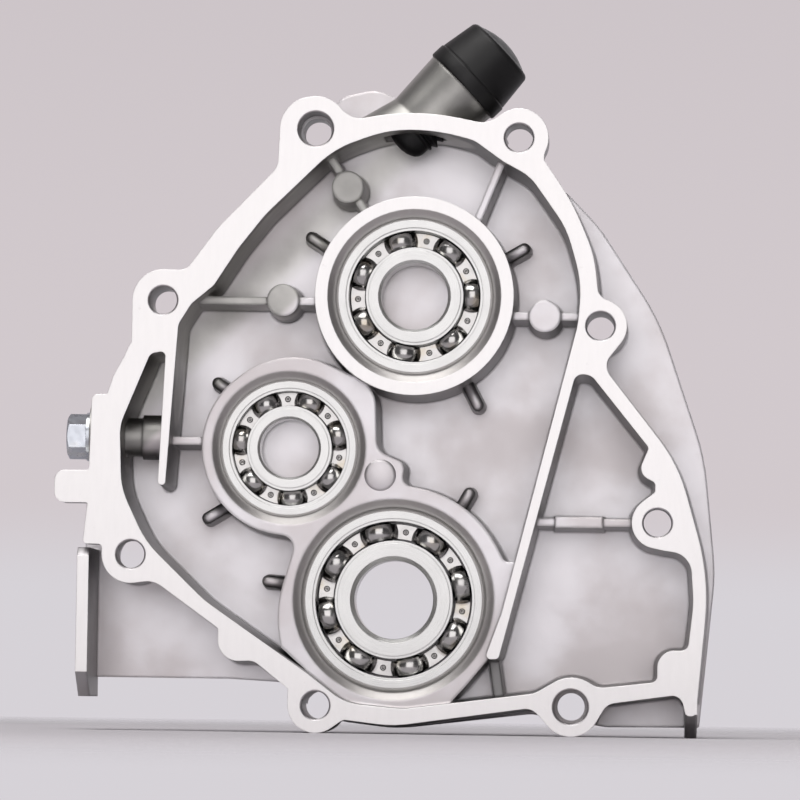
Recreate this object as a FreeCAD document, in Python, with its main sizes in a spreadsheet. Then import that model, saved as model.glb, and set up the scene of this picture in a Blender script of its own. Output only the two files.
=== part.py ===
"""Die cast gear housing half with its three shaft bearings, filler cap and level plug.

Frame: +Z up, -Y the way the machined joint face looks, millimetres. The joint face is a
plane; everything cast lies behind it, towards +Y. Plan points are written (x, z) from the
foot line and the middle of the joint face, and the datum shift puts the frame's origin
under the middle of the finished part.
"""
import FreeCAD, Part
import math
import os

import Sketcher
from FreeCAD import Placement, Rotation, Vector

# ---------------------------------------------------------------------------------------
# Driving dimensions: one named cell each
# ---------------------------------------------------------------------------------------
SIZES = {
    # overall form of the casting
    "case_width": 167.0,
    "case_height": 161.0,
    "case_depth": 32.0,
    "floor_thick": 4.0,
    "flange_thick": 8.0,
    "draft": 1.5,
    "datum_x": -0.695,
    # joint face fixings
    "bolt_hole_r": 3.5,
    "bolt_chamfer": 0.4,
    "dowel_hole_r": 4.3,
    "dowel_depth": 10.0,
    "bolt_access_r": 5.2,
    # bearings: bore, outside, width, ball, lands and corner rounding
    "upper_bore_r": 8.5, "upper_outer_r": 20.0, "upper_wide": 12.0,
    "upper_ball_r": 3.375, "upper_land_in": 12.4, "upper_land_out": 16.7,
    "idler_bore_r": 7.5, "idler_outer_r": 17.5, "idler_wide": 11.0,
    "idler_ball_r": 2.975, "idler_land_in": 10.8, "idler_land_out": 14.6,
    "output_bore_r": 10.0, "output_outer_r": 23.5, "output_wide": 14.0,
    "output_ball_r": 3.97, "output_land_in": 15.0, "output_land_out": 19.9,
    "upper_round": 1.0, "idler_round": 0.8, "output_round": 1.5,
    "race_gap": 0.06,
    "cage_thick": 0.6,
    "cage_gap": 0.15,
    "cage_wide": 3.0,
    "shield_step": 0.7,
    "shield_deep": 0.9,
    # bearing bosses: face set back from the joint face, wall and lead-in
    "upper_face": 2.0,
    "idler_face": 8.0,
    "seat_sink": 1.5,
    "boss_wall": 5.2,
    "seat_lead": 2.0,
    "shoulder": 3.0,
    "relief": 2.0,
    "rear_boss_rise": 8.0,
    "seal_deep": 7.0,
    "seal_r": 17.5,
    "shaft_gap": 0.5,
    # skirt walls, ribs and pads
    "skirt_thick": 3.0,
    "rib_top": 9.0,
    "rib_wide": 2.0,
    "pad_r": 4.1,
    "pad_top": 8.0,
    "stub_top": 17.0,
    # filler neck and cap
    "filler_y": 15.0,
    "filler_tilt": 46.0,
    "thread_r": 7.0,
    "thread_gap": 0.08,
    "plug_reach": 20.4,
    "neck_mouth_r": 10.7,
    "neck_waist_r": 9.2,
    "neck_long": 17.0,
    "neck_root_r": 12.5,
    "cap_r": 11.25,
    "cap_top_r": 9.9,
    "cap_side": 13.6,
    "cap_high": 15.9,
    "collar_high": 4.0,
    "collar_step": 0.35,
    "seal_wire": 1.8,
    "seal_gap": 0.02,
    # level plug
    "plug_y": 14.0,
    "plug_r": 3.0,
    "plug_long": 12.0,
    "plug_flats": 10.0,
    "plug_head": 5.0,
    "washer_r": 6.2,
    "washer_thick": 1.0,
    "plug_face": 75.0,
    "plug_boss_r": 8.0,
    "plug_gap": 0.05,
}

# outline sizes that the plan points below are drawn at
DRAWN_WIDTH = 167.0
DRAWN_HEIGHT = 161.0
UPPER_BALLS, IDLER_BALLS, OUTPUT_BALLS = 7, 7, 8

doc = FreeCAD.newDocument("gear_housing")
sheet = doc.addObject("Spreadsheet::Sheet", "sizes")
for row, (alias, value) in enumerate(SIZES.items(), start=1):
    sheet.set(f"A{row}", alias)
    sheet.set(f"B{row}", str(value))
    sheet.setAlias(f"B{row}", alias)
doc.recompute()


def size(name):
    """The value of a named cell."""
    return float(sheet.get(name))


def at(x, z):
    """A plan point, stretched with the casting's overall width and height."""
    return (x * size("case_width") / DRAWN_WIDTH, z * size("case_height") / DRAWN_HEIGHT)


# plan positions of the flange holes, clockwise from the top left, and of the shafts
LUGS = {
    "dowel_top": at(-18.2, 152.7), "top": at(33.3, 151.0), "upper_right": at(54.5, 103.6),
    "right": at(69.5, 54.1), "dowel_foot": at(48.2, 7.5), "foot": at(-16.1, 7.0),
    "lower_left": at(-63.4, 44.4), "upper_left": at(-56.2, 108.8),
}
LUG_R = {"dowel_top": 8.3, "top": 7.5, "upper_right": 6.7, "right": 6.5, "dowel_foot": 7.5,
         "foot": 7.0, "lower_left": 7.3, "upper_left": 7.8}
LUG_DEEP = {"dowel_top": 20.0, "top": 14.0, "upper_right": 21.0, "right": 9.0,
            "dowel_foot": 21.0, "foot": 24.0, "lower_left": 9.0, "upper_left": 20.0}
SHAFTS = {"upper": at(7.3, 110.8), "idler": at(-24.2, 72.1), "output": at(2.9, 34.0)}
BALLS = {"upper": UPPER_BALLS, "idler": IDLER_BALLS, "output": OUTPUT_BALLS}
FIRST_RIVET = {"upper": 79.4, "idler": 93.5, "output": 81.3}
FACE = {"upper": "upper_face", "idler": "idler_face", "output": "idler_face"}


# ---------------------------------------------------------------------------------------
# Plan outlines
# ---------------------------------------------------------------------------------------
def around(centre, radius, start, end):
    """Corners of the tangent polygon that rounds to an arc about centre, in degrees."""
    count = max(1, math.ceil(abs(end - start) / 95))
    half = math.radians((end - start) / count / 2)
    reach = radius / math.cos(half)
    turns = [math.radians(start) + half * (2 * k + 1) for k in range(count)]
    return [(centre[0] + reach * math.cos(a), centre[1] + reach * math.sin(a), radius)
            for a in turns]


def bulge(centre, radius, start, end, lead_in, lead_out):
    """Corners of an outline that rounds a lug from one angle to another.

    A lead is (length, fillet): how far the outline runs straight, tangent to the lug,
    and the fillet where it then turns into its neighbour.
    """
    turn = 1 if end > start else -1

    def on_tangent(angle, length):
        angle = math.radians(angle)
        return (centre[0] + radius * math.cos(angle) - turn * length * math.sin(angle),
                centre[1] + radius * math.sin(angle) + turn * length * math.cos(angle))

    return ([(*on_tangent(start, -lead_in[0]), lead_in[1])]
            + around(centre, radius, start, end)
            + [(*on_tangent(end, lead_out[0]), lead_out[1])])


def drawn(*corners):
    """Plan corners (x, z, fillet radius), stretched with the casting."""
    return [(*at(x, z), radius) for x, z, radius in corners]


def rounded(corners):
    """Lines and tangent arcs of a closed outline through corners (x, z, radius).

    Where two fillets would run into each other, both are limited by the side between them.
    """
    points = [Vector(x, z, 0) for x, z, _ in corners]
    count = len(points)
    ways, cuts = [], []
    for i, here in enumerate(points):
        back = (points[i - 1] - here).normalize()
        ahead = (points[(i + 1) % count] - here).normalize()
        half = back.getAngle(ahead) / 2
        ways.append((back, ahead, half))
        cuts.append(corners[i][2] / math.tan(half))
    limits = [1.0] * count
    for i in range(count):
        j = (i + 1) % count
        side, used = (points[j] - points[i]).Length, cuts[i] + cuts[j]
        if used > side:
            limits[i] = min(limits[i], side / used)
            limits[j] = min(limits[j], side / used)
    bends = []
    for here, (back, ahead, half), cut, limit in zip(points, ways, cuts, limits):
        cut *= limit
        radius = cut * math.tan(half)
        middle = (back + ahead).normalize() * (radius / math.sin(half) - radius)
        bends.append([here + back * cut, here + middle, here + ahead * cut, radius])
    snap = 0.02
    for i in range(count):
        following = bends[(i + 1) % count]
        if (following[0] - bends[i][2]).Length < snap:
            following[0] = bends[i][2]
    edges = []
    for i, (start, middle, end, radius) in enumerate(bends):
        if radius > snap:
            edges.append(Part.Arc(start, middle, end))
        following = bends[(i + 1) % count][0]
        if (following - end).Length > snap / 2:
            edges.append(Part.LineSegment(end, following))
    return edges


def flange_outline():
    """Outside of the joint face, counter-clockwise from the top lug."""
    def lug(name, *turn):
        return bulge(LUGS[name], LUG_R[name], *turn)

    return (
        lug("top", -25, 127, (2.4, 4), (4.3, 6))
        + drawn((6.0, 158.2, 60))
        + bulge(at(-19.0, 152.6), LUG_R["dowel_top"], 55, 178, (7.5, 5), (10.0, 5))
        + drawn((-42.6, 127.3, 20))
        + lug("upper_left", 88, 180, (5.5, 4), (11.0, 3))
        + drawn((-68.4, 89.6, 6), (-70.0, 84.8, 0.8), (-73.8, 84.8, 1.6),
                (-74.3, 65.5, 0.8), (-83.0, 65.5, 2.6), (-82.9, 57.3, 2.6),
                (-74.5, 57.3, 0.4), (-75.6, 46.9, 1.0))
        + lug("lower_left", 178, 278, (2.2, 1.0), (5.0, 6))
        + drawn((-40.9, 26.0, 1.0), (-40.9, 17.6, 5.2), (-31.8, 18.0, 4.0))
        + lug("foot", 180, 306, (6.6, 5), (4.0, 4))
        + drawn((3.5, 2.0, 30))
        + lug("dowel_foot", 222, 330, (6.2, 4), (5.3, 4))
        + drawn((75.9, 11.0, 2.8), (77.2, 5.6, 1.2), (79.7, 5.6, 1.2), (82.7, 40.5, 60),
                (74.5, 69.0, 40))
        + lug("upper_right", -38, 72, (7.5, 4), (3.0, 4))
        + drawn((52.7, 121.5, 30), (47.2, 134.5, 60))
    )


def wall_outline():
    """Outside of the wall behind the flange, which the lugs stand proud of."""
    return drawn(
        (33.0, 150.0, 6), (25.5, 153.8, 6), (6.0, 158.2, 60), (-7.8, 154.6, 12),
        (-20.0, 149.5, 6), (-28.4, 142.0, 5), (-42.6, 127.3, 20), (-50.4, 116.6, 4),
        (-57.2, 103.5, 5), (-64.4, 97.8, 5), (-69.6, 85.0, 6), (-71.6, 74.0, 6),
        (-70.6, 60.0, 12), (-65.5, 47.5, 8), (-57.5, 38.2, 6), (-40.9, 26.0, 1.0),
        (-40.9, 17.6, 5.2), (-31.8, 18.0, 4.0), (-14.8, 4.4, 5), (-8.6, 3.4, 4),
        (3.5, 2.0, 30), (38.4, 7.2, 4), (57.0, 8.5, 4), (75.9, 11.0, 2.8),
        (77.2, 8.5, 1.2), (80.0, 8.5, 1.2), (82.7, 40.5, 60), (74.5, 69.0, 40),
        (53.8, 95.0, 4), (53.8, 112.0, 4), (52.7, 121.5, 30), (47.2, 134.5, 60),
        (39.6, 145.6, 4))


def chamber_outline():
    """Inside of the joint face: both ribs that reach it stand in as peninsulas."""
    return (
        drawn((12.0, 152.8, 60), (0.0, 152.6, 40), (-13.5, 147.6, 25), (-30.6, 130.8, 30),
              (-37.3, 122.2, 30), (-43.4, 112.7, 4), (-49.0, 108.0, 4), (-52.2, 102.8, 4),
              (-54.9, 62.0, 1.1), (-56.8, 62.0, 1.1), (-55.3, 96.0, 1.2),
              (-59.2, 95.2, 2.0), (-66.6, 77.0, 12), (-66.0, 61.0, 20), (-59.6, 47.6, 25),
              (-44.5, 33.0, 30), (-18.3, 15.0, 30), (-8.6, 7.6, 14), (6.0, 6.3, 20),
              (39.0, 10.7, 6), (48.4, 16.2, 8.5), (55.2, 12.3, 5), (69.9, 14.0, 1.8),
              (69.9, 22.0, 4.2), (77.5, 22.0, 2.0), (78.8, 34.0, 30), (77.9, 46.2, 5.5))
        + bulge(LUGS["right"], LUG_R["right"], 258, 128, (2.9, 3.0), (4.2, 1.0))
        + drawn((68.8, 64.2, 1.2), (64.4, 66.5, 3.0), (67.1, 73.0, 1.2),
                (52.2, 91.3, 3.7), (48.4, 91.3, 2.2), (29.9, 19.2, 1.3), (26.4, 19.2, 1.1),
                (30.6, 31.0, 12), (48.8, 104.0, 20), (49.6, 114.5, 30), (45.6, 128.2, 25),
                (36.3, 141.2, 12), (29.3, 145.0, 5), (22.0, 150.2, 8))
    )


def plate_outline():
    """Outside of the rear plate that closes the chamber and carries the skirt."""
    return drawn(
        (33.0, 149.5, 6), (46.3, 138.5, 20), (54.0, 130.5, 40), (69.5, 107.0, 60),
        (81.5, 72.0, 60), (84.6, 42.0, 50), (80.9, 2.6, 0.6), (57.0, 2.4, 5),
        (38.0, 5.5, 8), (3.5, 1.2, 30), (-12.0, 4.2, 6), (-24.0, 12.6, 4),
        (-40.0, 13.4, 5), (-77.6, 13.4, 0.6), (-77.2, 62.0, 8), (-73.2, 84.0, 8),
        (-65.8, 96.5, 6), (-58.0, 101.5, 5), (-51.0, 115.0, 6), (-43.2, 127.8, 20),
        (-28.6, 143.2, 8), (-15.6, 150.0, 4), (-15.6, 163.0, 6), (-4.0, 165.8, 9),
        (8.0, 160.0, 8), (25.5, 153.8, 6))


def plateau_outline():
    """The raised deck that joins the idler and output bearing bosses."""
    idler, output = SHAFTS["idler"], SHAFTS["output"]
    idler_r = size("idler_outer_r") + 0.9 * size("boss_wall")
    output_r = size("output_outer_r") + size("boss_wall")
    return (
        around(idler, idler_r, 60, 262)
        + drawn((-21.8, 49.4, 3.2))
        + around(output, output_r, 168, 205)
        + drawn((-25.4, 21.5, 1.0), (-7.0, 5.0, 3.0), (14.0, 4.0, 3.0))
        + around(output, output_r - 1.3, 296, 328)
        + drawn((28.9, 21.5, 1.0), (33.9, 43.9, 0.5), (31.0, 43.9, 1.5))
        + around(output, output_r + 0.6, 28, 82)
        + drawn((4.6, 63.0, 2.5), (5.4, 68.6, 2.4), (-1.8, 71.6, 4), (-2.4, 88.0, 8))
    )


# ---------------------------------------------------------------------------------------
# Small helpers for the feature tree
# ---------------------------------------------------------------------------------------
def place(item, x="0", y="0", z="0"):
    """Bind a node's position, given by rules from the joint face, to the shifted datum."""
    item.setExpression("Placement.Base.x", f"{x} + sizes.datum_x")
    item.setExpression("Placement.Base.y",
                       f"{y} - (sizes.case_depth + sizes.rear_boss_rise) / 2")
    item.setExpression("Placement.Base.z", z)


def new_body(name, **position):
    """A PartDesign body; position gives the rules of its base point."""
    body = doc.addObject("PartDesign::Body", name)
    body.Label = name
    place(body, **position)
    return body


def plane_of(body, role):
    """One of the body's own origin planes or axes."""
    return next(f for f in body.Origin.OriginFeatures if f.Role == role)


def new_sketch(body, name, role="XZ_Plane", deep="0", shift=(0.0, 0.0)):
    """A sketch parallel to an origin plane; on XZ, deep is how far it lies towards +Y."""
    sketch = body.newObject("Sketcher::SketchObject", name)
    sketch.AttachmentSupport = [(plane_of(body, role), "")]
    sketch.MapMode = "FlatFace"
    sketch.AttachmentOffset = Placement(Vector(shift[0], shift[1], 0), Rotation())
    sign = "-" if role == "XZ_Plane" else ""
    sketch.setExpression("AttachmentOffset.Base.z", f"{sign}({deep})")
    return sketch


def circle(sketch, centre, rule):
    """A circle whose radius follows an expression, at a plan point of the sketch."""
    spot = Vector(centre[0], centre[1], 0)
    index = sketch.addGeometry(Part.Circle(spot, Vector(0, 0, 1), 1.0))
    if spot.Length < 1e-6:
        sketch.addConstraint(Sketcher.Constraint("Coincident", index, 3, -1, 1))
    else:
        sketch.addConstraint(Sketcher.Constraint("DistanceX", -1, 1, index, 3, spot.x))
        sketch.addConstraint(Sketcher.Constraint("DistanceY", -1, 1, index, 3, spot.y))
    radius = sketch.addConstraint(Sketcher.Constraint("Radius", index, 1.0))
    sketch.setExpression(f"Constraints[{radius}]", rule)
    return index


def pad(body, sketch, rule, taper=None, forward=False):
    """Pad a sketch towards +Y, or towards -Y when forward."""
    feature = body.newObject("PartDesign::Pad", sketch.Name + "_pad")
    feature.Profile = sketch
    feature.Refine = False
    feature.setExpression("Length", rule)
    feature.Reversed = not forward
    if taper:
        feature.setExpression("TaperAngle", taper)
    return feature


def pocket(body, sketch, rule, taper=None, forward=False):
    """Cut a sketch towards +Y, or towards -Y when forward."""
    feature = body.newObject("PartDesign::Pocket", sketch.Name + "_cut")
    feature.Profile = sketch
    feature.Refine = False
    feature.setExpression("Length", rule)
    feature.Reversed = forward
    if taper:
        feature.setExpression("TaperAngle", taper)
    return feature


def slot(start, end, wide):
    """Outline of a straight rib with square ends between two plan points."""
    a, b = Vector(*start, 0), Vector(*end, 0)
    along = (b - a).normalize()
    side = Vector(-along.y, along.x, 0) * wide / 2
    corners = [a + side, b + side, b - side, a - side]
    return [Part.LineSegment(corners[i], corners[(i + 1) % 4]) for i in range(4)]


def tilted_cylinder(body, kind, name, base, axis, radius, length, top=None):
    """An additive or subtractive cylinder, or cone when top is given, along an axis."""
    shape = "Cone" if top else "Cylinder"
    feature = body.newObject(f"PartDesign::{kind}{shape}", name)
    feature.MapMode = "Deactivated"
    feature.Refine = False
    feature.Placement = Placement(Vector(*base), Rotation(Vector(0, 0, 1), Vector(*axis)))
    if top:
        feature.setExpression("Radius1", radius)
        feature.setExpression("Radius2", top)
    else:
        feature.setExpression("Radius", radius)
    feature.setExpression("Height", length)
    return feature


# ---------------------------------------------------------------------------------------
# Housing
# ---------------------------------------------------------------------------------------
FILLER_SEAT = (*at(18.2, 165.2),)
TILT = math.radians(size("filler_tilt"))
FILLER_AXIS = (math.sin(TILT), 0.0, math.cos(TILT))
PLUG_Z = at(0, 74.5)[1]
PLUG_X = -size("plug_face") * size("case_width") / DRAWN_WIDTH


def on_filler_axis(reach):
    """A point on the filler axis, reach beyond its seat; inward is negative."""
    return (FILLER_SEAT[0] + reach * FILLER_AXIS[0], size("filler_y"),
            FILLER_SEAT[1] + reach * FILLER_AXIS[2])


def cast_shell(body):
    """Plate, wall, flange and lugs: everything outside the chamber."""
    plate = new_sketch(body, "plate", deep="sizes.case_depth - sizes.floor_thick")
    plate.addGeometry(rounded(plate_outline()))
    pad(body, plate, "sizes.floor_thick")

    wall = new_sketch(body, "wall")
    wall.addGeometry(rounded(wall_outline()))
    pad(body, wall, "sizes.case_depth - sizes.floor_thick / 2", taper="sizes.draft")

    flange = new_sketch(body, "flange")
    flange.addGeometry(rounded(flange_outline()))
    pad(body, flange, "sizes.flange_thick")

    backed = ("upper_right", "dowel_foot", "lower_left")
    depths = {}
    for name in LUGS:
        rule = "sizes.case_depth" if name in backed else str(LUG_DEEP[name])
        depths.setdefault(rule, []).append(name)
    for number, (rule, names) in enumerate(depths.items(), start=1):
        lugs = new_sketch(body, f"lugs_{number}")
        for name in names:
            circle(lugs, LUGS[name], str(LUG_R[name]))
        pad(body, lugs, rule)


def filler_neck(body):
    """The cast neck, waisted below its mouth, that leans out of the top wall."""
    waist = on_filler_axis(-size("neck_long"))
    tilted_cylinder(body, "Additive", "neck", waist, FILLER_AXIS,
                    "sizes.neck_waist_r", "sizes.neck_long", top="sizes.neck_mouth_r")
    root = on_filler_axis(-1.6 * size("neck_long"))
    tilted_cylinder(body, "Additive", "neck_root", root, FILLER_AXIS,
                    "sizes.neck_root_r", "0.8 * sizes.neck_long", top="sizes.neck_waist_r")


def skirt(body):
    """The two skirt walls that run forward from the plate to the joint face."""
    left, right = at(-76.9, 0)[0], at(77.1, 0)[0]
    depth = size("case_depth")
    wing = [(0.0, 14.6), (10.0, 8.4), (depth, 8.4), (depth, 46.0), (2.0, 46.0), (0.0, 44.0)]
    foot = [(0.0, 6.0), (12.0, 0.0), (depth, 0.0), (depth, 12.0), (0.0, 12.0)]
    for name, profile, x in (("wing", wing, left), ("foot", foot, right)):
        sketch = new_sketch(body, name, role="YZ_Plane", deep=str(x))
        points = [Vector(y, at(0, z)[1], 0) for y, z in profile]
        sketch.addGeometry([Part.LineSegment(p, q)
                            for p, q in zip(points, points[1:] + points[:1])])
        feature = body.newObject("PartDesign::Pad", f"{name}_pad")
        feature.Profile = sketch
        feature.Refine = False
        feature.setExpression("Length", "sizes.skirt_thick")


def rear_bosses(body):
    """What the rear of such a casting carries: cored bosses and ribs about the output."""
    boss = new_sketch(body, "rear_boss", deep="sizes.case_depth - sizes.floor_thick / 2")
    circle(boss, SHAFTS["output"], "sizes.seal_r + sizes.boss_wall")
    pad(body, boss, "sizes.rear_boss_rise + sizes.floor_thick / 2")
    ribs = new_sketch(body, "rear_ribs", deep="sizes.case_depth - sizes.floor_thick / 2")
    centre = Vector(*SHAFTS["output"], 0)
    inner, outer = size("seal_r") + 2, size("seal_r") + 22
    for angle in (20, 70, 110, 160):
        way = Vector(math.cos(math.radians(angle)), math.sin(math.radians(angle)), 0)
        start, end = centre + way * inner, centre + way * outer
        ribs.addGeometry(slot((start.x, start.y), (end.x, end.y), 1.5 * size("rib_wide")))
    pad(body, ribs, "0.7 * sizes.rear_boss_rise + sizes.floor_thick / 2")


def chamber(body):
    """Hollow out the gear chamber down to the floor."""
    outline = new_sketch(body, "chamber")
    outline.addGeometry(rounded(chamber_outline()))
    pocket(body, outline, "sizes.case_depth - sizes.floor_thick", taper="-sizes.draft")


def floor_features(body):
    """Bearing bosses, ribs and pads that stand on the chamber floor."""
    sink = "sizes.case_depth - sizes.floor_thick / 2"
    upper = new_sketch(body, "upper_boss", deep="sizes.upper_face")
    circle(upper, SHAFTS["upper"], "sizes.upper_outer_r + sizes.boss_wall")
    pad(body, upper, f"{sink} - sizes.upper_face", taper="sizes.draft")

    deck = new_sketch(body, "deck", deep="sizes.idler_face")
    deck.addGeometry(rounded(plateau_outline()))
    pad(body, deck, f"{sink} - sizes.idler_face", taper="sizes.draft")

    ribs = new_sketch(body, "ribs", deep="sizes.rib_top")
    wide = size("rib_wide")
    for start, end in (((-15.4, 147.2), (-4.0, 130.0)), ((29.4, 147.0), (22.0, 128.5)),
                       ((-49.5, 109.5), (-15.0, 109.5)), ((30.0, 106.4), (51.0, 106.4)),
                       ((-55.5, 73.6), (-42.0, 73.6)), ((37.0, 54.2), (65.0, 54.2))):
        ribs.addGeometry(slot(at(*start), at(*end), wide))
    pad(body, ribs, f"{sink} - sizes.rib_top", taper="sizes.draft")

    pads = new_sketch(body, "pads", deep="sizes.pad_top")
    for centre in ((-10.2, 138.7), (-26.3, 109.7), (40.3, 106.4)):
        circle(pads, at(*centre), "sizes.pad_r")
    pad(body, pads, f"{sink} - sizes.pad_top", taper="sizes.draft")

    raised = new_sketch(body, "raised_pad", deep="sizes.pad_top")
    raised.addGeometry(slot(at(43.6, 54.2), at(55.7, 54.2), 1.4 * wide))
    pad(body, raised, f"{sink} - sizes.pad_top", taper="sizes.draft")

    stubs = new_sketch(body, "stubs", deep="sizes.stub_top")
    for start, end in (((-20.2, 126.8), (-12.0, 121.5)), ((35.1, 124.4), (27.0, 119.6)),
                       ((-43.6, 89.1), (-38.0, 85.5)), ((23.6, 83.6), (19.5, 91.5)),
                       ((-45.6, 54.0), (-39.0, 58.0)), ((-30.0, 38.4), (-23.0, 37.8)),
                       ((21.8, 61.8), (18.0, 55.0)), ((28.4, 19.5), (30.2, 7.5))):
        stubs.addGeometry(slot(at(*start), at(*end), 1.3 * wide))
    pad(body, stubs, f"{sink} - sizes.stub_top", taper="sizes.draft")


def plug_bosses(body):
    """Spot-faced boss outside and plain boss inside for the level plug."""
    outer = (PLUG_X, size("plug_y"), PLUG_Z)
    tilted_cylinder(body, "Additive", "plug_boss", outer, (1, 0, 0),
                    "sizes.plug_boss_r", str(at(-69.0, 0)[0] - PLUG_X))
    inner = (at(-69.0, 0)[0], size("plug_y"), PLUG_Z)
    tilted_cylinder(body, "Additive", "plug_boss_inner", inner, (1, 0, 0),
                    "sizes.plug_boss_r - 3.1", str(at(-61.6, 0)[0] - inner[0]))
    tail = (at(-61.6, 0)[0], size("plug_y"), PLUG_Z)
    tilted_cylinder(body, "Additive", "plug_boss_tail", tail, (1, 0, 0),
                    "sizes.plug_boss_r - 2.3", str(at(-55.9, 0)[0] - tail[0]))


def revolved(body, name, edges, x=0.0, z=0.0, cut=False):
    """Revolve edges drawn as (radius, y) about an axis along Y through (x, z)."""
    sketch = new_sketch(body, name, role="XY_Plane", deep=str(z), shift=(x, 0.0))
    sketch.addGeometry(edges)
    kind, tail = ("Groove", "_cut") if cut else ("Revolution", "_turned")
    feature = body.newObject(f"PartDesign::{kind}", name + tail)
    feature.Profile = sketch
    feature.ReferenceAxis = (sketch, ["V_Axis"])
    feature.Angle = 360
    feature.Refine = False
    return feature


def chain(*points):
    """Closed run of straight lines through (radius, y) points."""
    spots = [Vector(*p, 0) for p in points]
    return [Part.LineSegment(p, q) for p, q in zip(spots, spots[1:] + spots[:1])]


def bearing_seats(body):
    """Lead-in, seat and relief of each bearing, and what lies behind them."""
    depth, rise = size("case_depth"), size("rear_boss_rise")
    for name, centre in SHAFTS.items():
        face, seat = size(FACE[name]), size(f"{name}_outer_r")
        behind = face + size("seat_sink") + size(f"{name}_wide")
        shoulder, lead = seat - size("shoulder"), size("seat_lead")
        mouth = [(0, face - 1), (seat + lead, face - 1), (seat + lead, face),
                 (seat, face + lead), (seat, behind), (shoulder, behind)]
        if name == "output":
            hole, seal = size("output_bore_r") + size("shaft_gap"), size("seal_r")
            back = depth + rise
            edges = chain(*mouth, (shoulder, behind + size("relief")),
                          (hole, behind + size("relief")), (hole, back - size("seal_deep")),
                          (seal, back - size("seal_deep")), (seal, back + 1), (0, back + 1))
        else:
            blind = behind + size("relief")
            core = blind + size("floor_thick")
            edges = chain(*mouth, (shoulder, blind), (0, blind))
            edges += chain((0, core), (shoulder, core), (shoulder, depth + 1), (0, depth + 1))
        revolved(body, f"{name}_seat", edges, *centre, cut=True)


def fixings(body):
    """Bolt and dowel holes in the joint face, and the bolt heads' room behind."""
    dowels = ("dowel_top", "dowel_foot")
    bolts = new_sketch(body, "bolt_holes")
    rims = new_sketch(body, "hole_rims")
    for name, centre in LUGS.items():
        circle(bolts, centre, "sizes.bolt_hole_r")
        hole = "dowel" if name in dowels else "bolt"
        circle(rims, centre, f"sizes.{hole}_hole_r + sizes.bolt_chamfer")
    pocket(body, bolts, "2 * sizes.case_depth")
    pocket(body, rims, "sizes.bolt_chamfer", taper="-45")
    wells = new_sketch(body, "dowel_holes")
    for name in dowels:
        circle(wells, LUGS[name], "sizes.dowel_hole_r")
    pocket(body, wells, "sizes.dowel_depth")
    for names in (("upper_right", "dowel_foot"), ("right", "lower_left")):
        access = new_sketch(body, f"access_{names[0]}", deep="sizes.case_depth")
        for name in names:
            circle(access, LUGS[name], "sizes.bolt_access_r")
        pocket(body, access, f"sizes.case_depth - {LUG_DEEP[names[0]]}", forward=True)


def drilled(body):
    """The filler's threaded bore and the level plug's hole."""
    start = on_filler_axis(1.0)
    inward = tuple(-c for c in FILLER_AXIS)
    tilted_cylinder(body, "Subtractive", "filler_bore", start, inward,
                    "sizes.thread_r + sizes.thread_gap", "sizes.plug_reach + 4")
    mouth = (PLUG_X - 1, size("plug_y"), PLUG_Z)
    tilted_cylinder(body, "Subtractive", "plug_hole", mouth, (1, 0, 0),
                    "sizes.plug_r + sizes.plug_gap", "sizes.plug_long + 2")


def make_housing():
    """The die casting, one piece."""
    body = new_body("housing")
    cast_shell(body)
    filler_neck(body)
    skirt(body)
    rear_bosses(body)
    chamber(body)
    floor_features(body)
    plug_bosses(body)
    bearing_seats(body)
    fixings(body)
    drilled(body)
    return body


# ---------------------------------------------------------------------------------------
# Ball bearings: two rings, a cage pressed in two halves and its balls
# ---------------------------------------------------------------------------------------
def seated(bearing):
    """Position rules of a bearing's mid-plane in its seat."""
    x, z = SHAFTS[bearing]
    middle = f"sizes.{FACE[bearing]} + sizes.seat_sink + sizes.{bearing}_wide / 2"
    return {"x": str(x), "y": middle, "z": str(z)}


def pitch_radius(bearing):
    """Radius that the ball centres run on, midway between the two lands."""
    return (size(f"{bearing}_land_in") + size(f"{bearing}_land_out")) / 2


def ring_section(bearing, wall, land, outward):
    """Section of a bearing ring: wall is its plain side, land the side with the groove."""
    half, soft = size(f"{bearing}_wide") / 2, size(f"{bearing}_round") * 0.7
    step, deep = size("shield_step") * outward, size("shield_deep")
    groove = size(f"{bearing}_ball_r") + size("race_gap")
    pitch = pitch_radius(bearing)
    reach = math.sqrt(groove ** 2 - (land - pitch) ** 2)
    edge = wall - outward * soft
    side = [(land, half - deep), (land + step, half - deep), (land + step, half), (edge, half),
            (wall, half - soft), (wall, -half + soft), (edge, -half), (land + step, -half),
            (land + step, -half + deep), (land, -half + deep)]
    spots = [Vector(*p, 0) for p in [(land, reach)] + side + [(land, -reach)]]
    edges = [Part.LineSegment(p, q) for p, q in zip(spots, spots[1:])]
    bottom = Vector(pitch + outward * groove, 0, 0)
    edges.append(Part.Arc(spots[-1], bottom, spots[0]))
    return edges


def make_ring(bearing, name, wall, land, outward):
    """One bearing ring, turned about its own axis."""
    body = new_body(f"{bearing}_{name}", **seated(bearing))
    revolved(body, "section", ring_section(bearing, size(wall), size(land), outward))
    return body


def polar(body, feature, count, name):
    """Repeat a feature round the body's Y axis."""
    pattern = body.newObject("PartDesign::PolarPattern", name)
    pattern.Originals = [feature]
    pattern.Axis = (plane_of(body, "Y_Axis"), [""])
    pattern.Angle = 360
    pattern.Occurrences = count
    pattern.Refine = False
    body.Tip = pattern
    return pattern


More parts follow.
